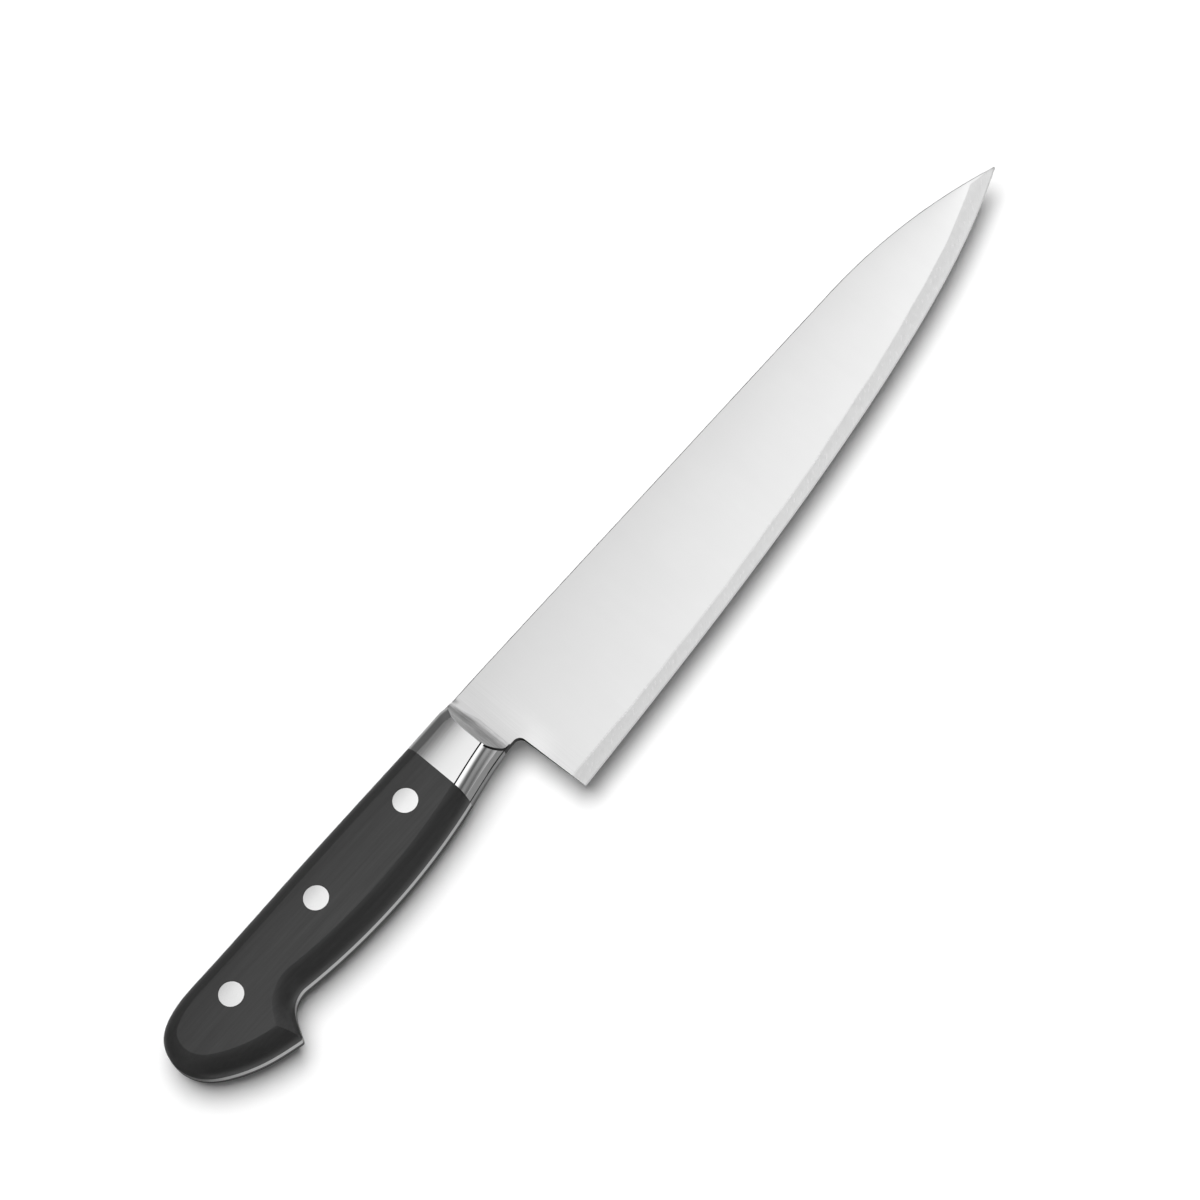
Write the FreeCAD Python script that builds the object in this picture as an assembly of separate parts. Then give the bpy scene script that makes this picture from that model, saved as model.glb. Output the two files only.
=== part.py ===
import FreeCAD, Part
import math
import os

# A chef's knife of the western-handled kind, in millimetres.
#
# Working frame: X runs along the blade towards the tip, Y runs across it towards the spine and Z
# stands out of the right-hand face. The heel's corner is at the origin and the middle plane of the
# blade is Z = 0. At the end everything is moved so that the knife lies on its left side, with the
# origin under the middle of its bounding box.

V = FreeCAD.Vector

# ---- driving dimensions ----------------------------------------------------------------------

# blade
HEEL_X = -0.4                    # heel corner, where the cutting edge starts
TIP_X = 207.25                   # point of the blade
TIP_LOW = 33.9                   # cutting edge at the point
TIP_HIGH = 34.3                  # spine at the point, which is eased by the difference
SPINE_Y = 44.6                   # height of the spine above the heel
SPINE_LEVEL_FROM = 10.0          # the spine is level from here ...
SPINE_LEVEL_TO = 150.0           # ... to here, and then drops to the point in one arc
SPINE_HALF = 1.1                 # half the thickness of the spine at the heel, and of the tang
SPINE_TAPER = 0.35               # half-thickness that an even taper takes off by the tip
TIP_TAPER = 0.45                 # half-thickness that the last stretch takes off as well
TIP_TAPER_POWER = 8              # how late that last stretch starts
SHOULDER_HALF = 0.3              # half the thickness at the top of the edge bevel
SHOULDER_SHARE = 0.75            # most of the spine's half-thickness that the shoulder may take
EDGE_HALF = 0.06                 # half the flat left on the cutting edge
BEVEL_HEIGHT = 4.5               # height of the edge bevel
BEVEL_SHARE = 0.8                # most of the blade's height that the bevel may take near the tip
BELLY_FULLNESS = 0.72            # how far the face has swelled at half height, from 0.5 for flat

# places along the blade where its section is set
SECTIONS_X = [-12.0, -5.0, -0.4, 5.0, 20.0, 50.0, 80.0, 110.0, 135.0, 155.0, 170.0, 182.0, 192.0, 200.0,
              207.25]

# neck and choil
NECK_Y = 23.75                   # underside of the neck
NECK_X = -3.6                    # where that underside is level
CHOIL_RADIUS = 2.2               # inside corner between neck and heel
HEEL_BACK_X = -1.3               # back edge of the heel at its top
FULL_THICKNESS_TO = -5.0         # behind this the steel is a flat plate
GRIND_FULL_AT = 5.0              # ahead of this the face is fully ground
PLATE_TO = -12.0                 # the plate of the tang reaches forward to here
CHOIL_BELOW = -10.0              # the cut behind the heel starts this far under the heel's corner
CLEAR = 5.0                      # spare length, width or depth of a cutting shape

# handle
SEAM_X = -24.1                   # joint between bolster and scale
SEAM_TOP = 44.1
SEAM_BOTTOM = 20.8
BUTT_X = -130.0                  # rearmost point of the handle
BUTT_Y = 31.0
CHEEK_Z = 8.5                    # half the thickness of the handle
ROUND_ACROSS = 4.8               # rounding of a scale: how far in from its outline it starts
ROUND_LIP = 0.3                  # straight wall left next to the tang
CHEEK_GRIND = 0.02               # ground off the cheek to leave it flat

# bolster
RAMP_BACK_X = -11.0              # front end of the polished cheek
RAMP_FRONT_X = -6.2              # foot of the concave ramp on the blade
RAMP_LIP = 0.15                  # thickness of the ramp at its foot
RAMP_SAG = 0.7                   # hollow of the ramp

# rivets
RIVETS = {"front": (-36.1, 32.3), "middle": (-71.8, 32.2), "rear": (-106.2, 31.4)}
HEAD_RADIUS = 3.6
HEAD_DEPTH = 2.0
BARREL_RADIUS = 2.5
POST_RADIUS = 1.6
BARREL_END_Z = -6.2              # end of the socket's barrel, just short of the post's head
BORE_TOP_Z = 5.0                 # closed end of the socket's bore
POST_END_Z = 4.6                 # end of the post in it


# ---- curves of the side view -----------------------------------------------------------------

def smooth(points, start=None, end=None):
    """B-spline through points in the side view, with optional directions at its two ends."""
    curve = Part.BSplineCurve()
    places = [V(x, y, 0) for x, y in points]
    if start and end:
        first, last = V(*start, 0).normalize(), V(*end, 0).normalize()
        curve.interpolate(Points=places, InitialTangent=first, FinalTangent=last, Scale=False)
    else:
        curve.interpolate(Points=places)
    return curve


def line(first, second):
    """Straight edge between two points of the side view."""
    return Part.makeLine(V(*first, 0), V(*second, 0))


def direction(curve, end):
    """Direction of a curve at its start (0) or its end (1), as X and Y."""
    parameter = curve.LastParameter if end else curve.FirstParameter
    tangent = curve.tangent(parameter)[0]
    return tangent.x, tangent.y


def height_at(curve, x):
    """Y of a curve of the side view at x. The curve runs steadily towards +X."""
    low, high = curve.FirstParameter, curve.LastParameter
    for _ in range(50):
        middle = (low + high) / 2
        if curve.value(middle).x < x:
            low = middle
        else:
            high = middle
    return curve.value(high).y


def spine_height(x):
    """Y of the spine, from the seam to the point."""
    if x < SPINE_LEVEL_FROM:
        return height_at(SPINE_REAR, x)
    run = max(0.0, x - SPINE_LEVEL_TO)
    return SPINE_Y - SPINE_ARC_RADIUS + math.sqrt(SPINE_ARC_RADIUS ** 2 - run ** 2)


tip_run = TIP_X - SPINE_LEVEL_TO
tip_drop = SPINE_Y - TIP_HIGH
SPINE_ARC_RADIUS = (tip_run ** 2 + tip_drop ** 2) / (2 * tip_drop)

SPINE_REAR = smooth([(SEAM_X, SEAM_TOP), (-9.0, 44.4), (SPINE_LEVEL_FROM, SPINE_Y)],
                    (15.0, 0.3), (15.0, 0.0))
CUTTING_EDGE = smooth([(-14.0, -1.0), (HEEL_X, 0.0), (50.0, 3.95), (100.0, 9.25), (150.0, 17.1),
                       (180.0, 24.1), (TIP_X, TIP_LOW)])
BACK = smooth([(BUTT_X, BUTT_Y), (-127.0, 38.8), (-121.0, 42.0), (-108.0, 43.15), (-70.0, 43.75),
               (SEAM_X, SEAM_TOP)], (0.0, 8.0), (46.0, 0.4))
BEAK = (-102.2, 10.3)
HOOK_END = (-91.0, 19.65)
BUTT = smooth([(BUTT_X, BUTT_Y), (-128.2, 24.4), (-122.0, 18.35), (-113.0, 13.55), BEAK],
              (0.0, -7.0), (11.0, -2.9))
BELLY = Part.Arc(V(*HOOK_END, 0), V(-60.0, 17.25, 0), V(SEAM_X, SEAM_BOTTOM, 0))
HOOK = smooth([BEAK, (-99.9, 14.6), (-97.2, 18.0), HOOK_END], (2.3, 4.3), direction(BELLY, 0))
UNDERSIDE = smooth([(SEAM_X, SEAM_BOTTOM), (-10.0, 23.3), (NECK_X, NECK_Y)],
                   direction(BELLY, 1), (1.0, 0.0))


# ---- solids ----------------------------------------------------------------------------------

def slab(edges, bottom, top):
    """Flat plate with the given outline in the side view, between two heights."""
    outline = Part.Wire(Part.__sortEdges__(edges))
    outline.translate(V(0, 0, bottom))
    return Part.Face(outline).extrude(V(0, 0, top - bottom))


def cylinder(place, radius, bottom, top):
    """Upright cylinder between two heights."""
    return Part.makeCylinder(radius, top - bottom, V(*place, bottom))


def blend(x, start, end):
    """0 before start, 1 after end, and a smooth step between."""
    share = min(1.0, max(0.0, (x - start) / (end - start)))
    return share * share * (3 - 2 * share)


def blade_section(x):
    """Closed outline of the blade across X: edge, bevel, swelled face and spine on both sides."""
    low, high = height_at(CUTTING_EDGE, x), spine_height(x)
    height = high - low
    along = max(0.0, x) / TIP_X
    spine = SPINE_HALF - SPINE_TAPER * along - TIP_TAPER * along ** TIP_TAPER_POWER
    shoulder = min(SHOULDER_HALF, SHOULDER_SHARE * spine)
    bevel = min(BEVEL_HEIGHT, BEVEL_SHARE * height)
    swelled = shoulder + (spine - shoulder) * BELLY_FULLNESS
    middle = spine + (swelled - spine) * blend(x, FULL_THICKNESS_TO, GRIND_FULL_AT)
    half = [(low, EDGE_HALF), (low + bevel, shoulder), (low + (bevel + height) / 2, middle),
            (high, spine)]
    corners = [V(x, y, z) for y, z in half] + [V(x, y, -z) for y, z in reversed(half)]
    return Part.makePolygon(corners + corners[:1])


def blade():
    """Blade and full tang, one piece of steel."""
    ground = Part.makeLoft([blade_section(x) for x in SECTIONS_X], True, False)
    corner_y = NECK_Y - CHOIL_RADIUS
    corner_x = HEEL_BACK_X - CHOIL_RADIUS
    slant = CHOIL_RADIUS * math.sqrt(0.5)
    choil = Part.Arc(V(corner_x, NECK_Y, 0), V(corner_x + slant, corner_y + slant, 0),
                     V(HEEL_BACK_X, corner_y, 0))
    below = (HEEL_X - CHOIL_BELOW * (HEEL_X - HEEL_BACK_X) / corner_y, CHOIL_BELOW)
    notch = slab([UNDERSIDE.toShape(), line((SEAM_X, SEAM_BOTTOM), (SEAM_X, CHOIL_BELOW)),
                  line((SEAM_X, CHOIL_BELOW), below), line(below, (HEEL_BACK_X, corner_y)),
                  choil.toShape(), line((NECK_X, NECK_Y), (corner_x, NECK_Y))], -CLEAR, CLEAR)
    ground = ground.cut(notch)
    neck_top = (NECK_X, NECK_Y + CLEAR)
    plate = slab([SPINE_REAR.toShape(), BACK.toShape(), BUTT.toShape(), HOOK.toShape(), BELLY.toShape(),
                  UNDERSIDE.toShape(), line((NECK_X, NECK_Y), neck_top),
                  line(neck_top, (SPINE_LEVEL_FROM, SPINE_Y))], -SPINE_HALF, SPINE_HALF)
    behind_neck = Part.makeBox(PLATE_TO - BUTT_X + CLEAR, SPINE_Y + 2 * CLEAR, 2 * CLEAR,
                               V(BUTT_X - CLEAR, -CLEAR, -CLEAR))
    steel = plate.common(behind_neck).fuse(ground)
    for place in RIVETS.values():
        steel = steel.cut(cylinder(place, BARREL_RADIUS, -SPINE_HALF - 1, SPINE_HALF + 1))
    return steel.removeSplitter()


def rounded(edges):
    """Half of the handle from an outline, with its outer rim rounded in an elliptical section.

    The solid is made with its height squashed so that one fillet radius serves both ways, and is
    then stretched to its real height. Grinding the cheek takes off the last of it and leaves a flat.
    """
    rough_z = CHEEK_Z + CHEEK_GRIND
    squash = ROUND_ACROSS / (rough_z - SPINE_HALF - ROUND_LIP)
    body = slab(edges, SPINE_HALF * squash, rough_z * squash)
    rim = [edge for edge in body.Edges if on_rim(edge, rough_z * squash)]
    body = body.makeFillet(ROUND_ACROSS, rim)
    stretch = FreeCAD.Matrix()
    stretch.scale(1, 1, 1 / squash)
    body = body.transformGeometry(stretch)
    box = body.BoundBox
    corner = V(box.XMin - CLEAR, box.YMin - CLEAR, CHEEK_Z)
    return body.cut(Part.makeBox(box.XLength + 2 * CLEAR, box.YLength + 2 * CLEAR, CLEAR, corner))


def on_rim(edge, top):
    """Whether an edge lies on the upper face and runs along the outline, not across it."""
    box = edge.BoundBox
    return box.ZMin > top - 0.01 and box.XLength > 0.1


def right_bolster():
    """Bolster half of the right side: cheek flush with the scale, and a hollow ramp to the blade."""
    cheek = rounded([SPINE_REAR.toShape(), UNDERSIDE.toShape(),
                     line((NECK_X, NECK_Y), (SPINE_LEVEL_FROM, NECK_Y)),
                     line((SPINE_LEVEL_FROM, NECK_Y), (SPINE_LEVEL_FROM, SPINE_Y)),
                     line((SEAM_X, SEAM_BOTTOM), (SEAM_X, SEAM_TOP))])
    back = V(RAMP_BACK_X, 0, CHEEK_Z)
    foot = V(RAMP_FRONT_X, 0, SPINE_HALF + RAMP_LIP)
    chord = foot - back
    hollow = (back + foot) / 2 + V(chord.z, 0, -chord.x).normalize() * RAMP_SAG
    rear_foot, rear_top = V(SEAM_X, 0, SPINE_HALF), V(SEAM_X, 0, CHEEK_Z)
    front_foot = V(RAMP_FRONT_X, 0, SPINE_HALF)
    profile = Part.Wire([Part.makeLine(rear_foot, rear_top), Part.makeLine(rear_top, back),
                         Part.Arc(back, hollow, foot).toShape(), Part.makeLine(foot, front_foot),
                         Part.makeLine(front_foot, rear_foot)])
    return cheek.common(Part.Face(profile).extrude(V(0, SPINE_Y + 1, 0)))


def right_scale():
    """Handle scale of the right side, with a counterbored hole for each rivet."""
    body = rounded([BACK.toShape(), BUTT.toShape(), HOOK.toShape(), BELLY.toShape(),
                    line((SEAM_X, SEAM_BOTTOM), (SEAM_X, SEAM_TOP))])
    for place in RIVETS.values():
        body = body.cut(cylinder(place, BARREL_RADIUS, 0, CHEEK_Z + 1))
        body = body.cut(cylinder(place, HEAD_RADIUS, CHEEK_Z - HEAD_DEPTH, CHEEK_Z + 1))
    return body


def rivet_socket(place):
    """Head and hollow barrel of a compression rivet, put in from the right."""
    head = cylinder(place, HEAD_RADIUS, CHEEK_Z - HEAD_DEPTH, CHEEK_Z)
    barrel = cylinder(place, BARREL_RADIUS, BARREL_END_Z, CHEEK_Z - HEAD_DEPTH)
    return head.fuse(barrel).cut(cylinder(place, POST_RADIUS, BARREL_END_Z, BORE_TOP_Z))


def rivet_post(place):
    """Head and solid post of the same rivet, pressed into the barrel from the left."""
    head = cylinder(place, HEAD_RADIUS, -CHEEK_Z, HEAD_DEPTH - CHEEK_Z)
    return head.fuse(cylinder(place, POST_RADIUS, HEAD_DEPTH - CHEEK_Z, POST_END_Z))


def left_of(shape):
    """The same piece on the left side."""
    return shape.mirror(V(0, 0, 0), V(0, 0, 1))


# ---- assembly --------------------------------------------------------------------------------

nodes = {"blade": blade()}
nodes["right_bolster"] = right_bolster()
nodes["left_bolster"] = left_of(nodes["right_bolster"])
nodes["right_scale"] = right_scale()
nodes["left_scale"] = left_of(nodes["right_scale"])
for name, place in RIVETS.items():
    nodes[name + "_rivet_socket"] = rivet_socket(place)
    nodes[name + "_rivet_post"] = rivet_post(place)

extent = nodes["blade"].optimalBoundingBox(True, False)
to_row_frame = V(-extent.Center.x, -extent.Center.y, CHEEK_Z)
os.makedirs("parts", exist_ok=True)
for name, shape in nodes.items():
    shape.translate(to_row_frame)
    shape.exportStep("parts/" + name + ".step")
    print(name, "solids", len(shape.Solids), "valid", shape.isValid(), "volume", round(shape.Volume, 1))
print("moved by", to_row_frame, "blade", extent)
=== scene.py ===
"""Chef's knife with a full tang, half bolsters, laminate scales and three compression rivets."""

import logging
import math
from dataclasses import dataclass
from enum import Enum, IntEnum
from functools import cached_property
from typing import Callable, Iterable, Sequence

import bmesh
import bpy
import numpy as np
from mathutils import Matrix, Vector


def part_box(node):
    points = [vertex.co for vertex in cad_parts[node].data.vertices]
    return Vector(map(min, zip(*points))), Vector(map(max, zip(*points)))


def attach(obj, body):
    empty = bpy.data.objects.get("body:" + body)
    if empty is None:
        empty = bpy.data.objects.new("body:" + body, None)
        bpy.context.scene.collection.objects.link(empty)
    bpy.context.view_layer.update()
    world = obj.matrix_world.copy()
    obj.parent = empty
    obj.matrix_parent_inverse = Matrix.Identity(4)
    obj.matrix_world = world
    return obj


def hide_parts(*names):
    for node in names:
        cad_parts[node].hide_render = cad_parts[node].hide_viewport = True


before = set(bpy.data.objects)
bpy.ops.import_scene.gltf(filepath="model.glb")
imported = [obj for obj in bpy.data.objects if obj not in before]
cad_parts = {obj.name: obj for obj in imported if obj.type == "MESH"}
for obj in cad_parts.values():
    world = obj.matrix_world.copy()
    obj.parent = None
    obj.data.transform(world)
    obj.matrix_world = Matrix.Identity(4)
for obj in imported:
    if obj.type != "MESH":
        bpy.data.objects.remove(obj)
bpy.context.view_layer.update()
log = logging.getLogger("knife")

MM = 0.001

# Distances in millimetres at which two points count as one, as lying on a plane, and as lying on a cut.
SAME = 2e-4
ON_PLANE = 1e-4
ON_CUT = 1e-5

# Samples between two given points of a smooth curve.
SAMPLES = 200

# The side view is in millimetres from the heel corner: X towards the tip, Y towards the spine, and Z
# out of the middle plane of the blade.
Point = tuple[float, float]
Place = tuple[float, float, float]
Profile = Sequence[Point]


# ---- curves ----------------------------------------------------------------------------------


def end_slope(knots: np.ndarray, places: np.ndarray, at: float) -> np.ndarray:
    """Slope of the cubic through four points of a curve.

    Args:
        knots: distances of the four points along the curve.
        places: the four points.
        at: distance where the slope is wanted.

    Returns:
        The slope, per unit of distance.
    """
    cubic = np.polyfit(knots, places, 3)
    return 3 * cubic[0] * at**2 + 2 * cubic[1] * at + cubic[2]


def through(points: Profile, start: Point | None = None, end: Point | None = None) -> np.ndarray:
    """Smooth curve through points, sampled closely.

    Args:
        points: places that the curve passes.
        start: direction in which it leaves the first one, if that matters.
        end: direction in which it reaches the last one.

    Returns:
        The samples, one to a row.
    """
    places = np.array(points, float)
    spans = np.linalg.norm(np.diff(places, axis=0), axis=1)
    knots = np.concatenate([[0.0], np.cumsum(spans)])
    count = len(places)
    system = np.zeros((count, count))
    wanted = np.zeros((count, 2))
    for i in range(1, count - 1):
        before, after = spans[i - 1], spans[i]
        system[i, i - 1 : i + 2] = after, 2 * (before + after), before
        wanted[i] = 3 * after * (places[i] - places[i - 1]) / before
        wanted[i] += 3 * before * (places[i + 1] - places[i]) / after
    system[0, 0] = system[-1, -1] = 1.0
    wanted[0] = np.array(start) / math.hypot(*start) if start else end_slope(knots[:4], places[:4], 0.0)
    wanted[-1] = np.array(end) / math.hypot(*end) if end else end_slope(knots[-4:], places[-4:], knots[-1])
    slopes = np.linalg.solve(system, wanted)
    samples = []
    for i, span in enumerate(spans):
        t = np.linspace(0, 1, SAMPLES, endpoint=i == count - 2)[:, None]
        samples.append(
            (1 + 2 * t) * (1 - t) ** 2 * places[i]
            + t * (1 - t) ** 2 * span * slopes[i]
            + t**2 * (3 - 2 * t) * places[i + 1]
            + t**2 * (t - 1) * span * slopes[i + 1]
        )
    return np.concatenate(samples)


def arc(first: Point, middle: Point, last: Point, count: int = 2 * SAMPLES) -> np.ndarray:
    """Circular arc through three points.

    Args:
        first: where it starts.
        middle: a point that it passes.
        last: where it ends.
        count: number of samples.

    Returns:
        The samples, one to a row.
    """
    a, b, c = (np.array(p, float) for p in (first, middle, last))
    system = 2 * np.array([b - a, c - a])
    centre = np.linalg.solve(system, [b @ b - a @ a, c @ c - a @ a])
    turns = np.unwrap([math.atan2(*(p - centre)[::-1]) for p in (a, b, c)])
    swept = np.linspace(turns[0], turns[2], count)
    return centre + np.linalg.norm(a - centre) * np.stack([np.cos(swept), np.sin(swept)], axis=1)


def direction(curve: np.ndarray, at: int) -> Point:
    """Direction of a sampled curve at its start (0) or its end (-1)."""
    step = curve[1] - curve[0] if at == 0 else curve[-1] - curve[-2]
    return float(step[0]), float(step[1])


def spaced(curve: np.ndarray, step: float) -> np.ndarray:
    """Thins a sampled curve out, with both ends kept.

    Args:
        curve: samples of the curve, one to a row.
        step: distance wanted between neighbours.

    Returns:
        The samples that are left, evenly spaced along the curve.
    """
    run = np.concatenate([[0.0], np.cumsum(np.linalg.norm(np.diff(curve, axis=0), axis=1))])
    stops = np.linspace(0.0, run[-1], max(2, round(run[-1] / step) + 1))
    return np.stack([np.interp(stops, run, curve[:, axis]) for axis in (0, 1)], axis=1)


def blend(x: float, start: float, end: float) -> float:
    """0 before start, 1 after end, and a smooth step between."""
    share = min(1.0, max(0.0, (x - start) / (end - start)))
    return share * share * (3 - 2 * share)


# ---- outline ---------------------------------------------------------------------------------


@dataclass(frozen=True)
class Outline:
    """Outline of the knife seen square to its right face, in millimetres from the heel corner."""

    heel_x: float = -0.4
    tip_x: float = 207.25
    tip_low: float = 33.9
    tip_high: float = 34.3
    spine_y: float = 44.6
    level_from: float = 10.0
    level_to: float = 150.0
    neck: Point = (-3.6, 23.75)
    choil_radius: float = 2.2
    heel_back: Point = (-1.3, 21.55)
    seam_x: float = -24.1
    seam_top: float = 44.1
    seam_bottom: float = 20.8
    butt: Point = (-130.0, 31.0)
    beak: Point = (-102.2, 10.3)
    hook_end: Point = (-91.0, 19.65)
    beak_radius: float = 1.0
    beak_steps: int = 8
    into_beak: Point = (11.0, -2.9)
    out_of_beak: Point = (2.3, 4.3)

    # Places that the curves pass between the ones above.
    spine_by: Point = (-9.0, 44.4)
    back_by: tuple[Point, ...] = ((-127.0, 38.8), (-121.0, 42.0), (-108.0, 43.15), (-70.0, 43.75))
    end_by: tuple[Point, ...] = ((-128.2, 24.4), (-122.0, 18.35), (-113.0, 13.55))
    belly_by: Point = (-60.0, 17.25)
    hook_by: tuple[Point, ...] = ((-99.9, 14.6), (-97.2, 18.0))
    under_by: Point = (-10.0, 23.3)
    behind_heel: Point = (-14.0, -1.0)
    edge_by: tuple[Point, ...] = ((50.0, 3.95), (100.0, 9.25), (150.0, 17.1), (180.0, 24.1))

    # Distances between neighbours where the lower outline is thinned out.
    end_step: float = 0.6
    hook_step: float = 0.5
    belly_step: float = 1.3

    @property
    def spine_rear(self) -> np.ndarray:
        """Spine from the seam to the level stretch."""
        points = [(self.seam_x, self.seam_top), self.spine_by, (self.level_from, self.spine_y)]
        return through(points, (15.0, 0.3), (15.0, 0.0))

    @property
    def back(self) -> np.ndarray:
        """Back of the handle, from the butt to the seam."""
        return through([self.butt, *self.back_by, (self.seam_x, self.seam_top)], (0.0, 8.0), (46.0, 0.4))

    @property
    def end_curve(self) -> np.ndarray:
        """Butt end, from the rearmost point down to the beak."""
        return through([self.butt, *self.end_by, self.beak], (0.0, -7.0), self.into_beak)

    @property
    def belly(self) -> np.ndarray:
        """Underside of the scales, from the hook to the seam."""
        return arc(self.hook_end, self.belly_by, (self.seam_x, self.seam_bottom))

    @property
    def hook(self) -> np.ndarray:
        """Inside of the hook, from the beak to the underside."""
        points = [self.beak, *self.hook_by, self.hook_end]
        return through(points, self.out_of_beak, direction(self.belly, 0))

    @property
    def underside(self) -> np.ndarray:
        """Underside of the bolster, from the seam to the neck."""
        points = [(self.seam_x, self.seam_bottom), self.under_by, self.neck]
        return through(points, direction(self.belly, -1), (1.0, 0.0))

    @property
    def cutting_edge(self) -> np.ndarray:
        """Cutting edge, from behind the heel to the point."""
        points = [self.behind_heel, (self.heel_x, 0.0), *self.edge_by, (self.tip_x, self.tip_low)]
        return through(points)

    def beak_corner(self) -> np.ndarray:
        """Small rounding of the beak, from the butt side to the hook side.

        Returns:
            Points of the arc, one to a row.
        """
        into, out = (np.array(d) / math.hypot(*d) for d in (self.into_beak, self.out_of_beak))
        turn = math.acos(float(into @ out))
        reach = self.beak_radius * math.tan(turn / 2)
        start = np.array(self.beak) - into * reach
        centre = start + self.beak_radius * np.array([-into[1], into[0]])
        first = math.atan2(*(start - centre)[::-1])
        swept = np.linspace(first, first + turn, self.beak_steps + 1)
        return centre + self.beak_radius * np.stack([np.cos(swept), np.sin(swept)], axis=1)

    def handle_end(self) -> np.ndarray:
        """Lower outline of the handle from the butt over the beak to the seam, with its beak rounded.

        Returns:
            Points from the rearmost one to the seam, one to a row.
        """
        corner = self.beak_corner()
        butt = self.end_curve[self.end_curve[:, 0] < corner[0, 0]]
        hook = self.hook[self.hook[:, 0] > corner[-1, 0]]
        return np.concatenate([
            spaced(butt, self.end_step), corner, spaced(hook, self.hook_step)[1:],
            spaced(self.belly, self.belly_step)[1:],
        ])


class Limits:
    """Heights of the outline above the heel corner at any place along the knife."""

    def __init__(self, outline: Outline) -> None:
        """Samples the outline once.

        Args:
            outline: the curves of the outline.
        """
        self.outline = outline
        self._top = np.concatenate([outline.back, outline.spine_rear[1:]])
        self._handle = np.concatenate([outline.handle_end(), outline.underside[1:]])
        self._edge = outline.cutting_edge
        run = outline.tip_x - outline.level_to
        drop = outline.spine_y - outline.tip_high
        self._radius = (run**2 + drop**2) / (2 * drop)

    def top(self, x: float) -> float:
        """Back or spine of the knife.

        Args:
            x: place along the knife.

        Returns:
            Its height.
        """
        if x < self.outline.level_from:
            return float(np.interp(x, self._top[:, 0], self._top[:, 1]))
        run = max(0.0, x - self.outline.level_to)
        return self.outline.spine_y - self._radius + math.sqrt(self._radius**2 - run**2)

    def edge(self, x: float) -> float:
        """Cutting edge at x."""
        return float(np.interp(max(x, self.outline.heel_x), self._edge[:, 0], self._edge[:, 1]))

    def under(self, x: float) -> float:
        """Underside of the handle and the neck at x."""
        return float(np.interp(x, self._handle[:, 0], self._handle[:, 1]))


# ---- mesh helpers ----------------------------------------------------------------------------


@dataclass(frozen=True)
class Datum:
    """Place of the heel corner in the row frame, in metres."""

    corner: Vector

    @classmethod
    def found(cls, outline: Outline, tang_half: float) -> "Datum":
        """Reads the datum off the corner of the right-hand CAD scale at the seam.

        Args:
            outline: the curves of the outline.
            tang_half: half the thickness of the tang, on which the scale stands.

        Returns:
            The datum.
        """
        low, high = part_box("right_scale")
        seam = Vector((outline.seam_x, outline.seam_top, tang_half)) * MM
        return cls(Vector((high.x, high.y, low.z)) - seam)

    def matrix(self) -> Matrix:
        """Matrix from millimetres about the heel corner to the row frame."""
        return Matrix.Translation(self.corner) @ Matrix.Scale(MM, 4)


class Side(Enum):
    """Side of the knife, and its direction out of the middle plane."""

    RIGHT = 1
    LEFT = -1

    @property
    def word(self) -> str:
        """The side's name in a piece's name."""
        return self.name.lower()


def sheet(mesh: bmesh.types.BMesh, columns: int, rows: int, place: Callable[[int, int], Place]) -> None:
    """Adds a sheet of quads whose grid points are put where they belong.

    Args:
        mesh: mesh that gets the sheet.
        columns: number of grid points one way.
        rows: number of grid points the other way.
        place: gives the three coordinates of a grid point from its column and row.
    """
    made = bmesh.ops.create_grid(mesh, x_segments=columns - 1, y_segments=rows - 1, size=1.0)
    for vert in made["verts"]:
        column = round((vert.co.x + 1) / 2 * (columns - 1))
        row = round((vert.co.y + 1) / 2 * (rows - 1))
        vert.co = place(column, row)


def open_edges(mesh: bmesh.types.BMesh, axis: int, at: float) -> list[bmesh.types.BMEdge]:
    """Finds the open edges of a mesh in a plane square to one axis.

    Args:
        mesh: the mesh.
        axis: number of the axis.
        at: place of the plane on that axis.

    Returns:
        The edges.
    """
    rim = [e for e in mesh.edges if e.is_boundary]
    return [e for e in rim if all(abs(v.co[axis] - at) < ON_PLANE for v in e.verts)]


def close_flat(mesh: bmesh.types.BMesh, axis: int, at: float) -> None:
    """Fills the openings of a mesh in a plane square to one axis, leaving holes inside it open."""
    bmesh.ops.triangle_fill(mesh, use_beauty=True, edges=open_edges(mesh, axis, at))


def spun(mesh: bmesh.types.BMesh, profile: Profile, centre: Point, steps: int = 72) -> None:
    """Turns a profile of radii and heights round an upright axis into a closed body.

    Args:
        mesh: mesh that gets the body.
        profile: radius and height of each point.
        centre: place of the axis in the side view.
        steps: number of steps in the full turn.
    """
    x, y = centre
    verts = [mesh.verts.new((x + radius, y, z)) for radius, z in profile]
    edges = [mesh.edges.new(pair) for pair in zip(verts, verts[1:])]
    bmesh.ops.spin(
        mesh, geom=verts + edges, cent=(x, y, 0.0), axis=(0.0, 0.0, 1.0), dvec=(0.0, 0.0, 0.0),
        angle=math.tau, steps=steps, use_merge=True,
    )


def settle(mesh: bmesh.types.BMesh) -> None:
    """Puts edges and faces in the order of their vertices, as an extrusion makes them in any order.

    Args:
        mesh: mesh whose vertices are in the same order each run.
    """
    mesh.verts.index_update()
    count = len(mesh.verts)

    def rank(part: bmesh.types.BMEdge | bmesh.types.BMFace) -> float:
        """Number that puts an edge or a face in the order of its three highest vertices."""
        high = sorted(vert.index for vert in part.verts)[-3:]
        return float(sum(index * count**power for power, index in enumerate(high)))

    mesh.edges.sort(key=rank)
    mesh.faces.sort(key=rank)


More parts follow.
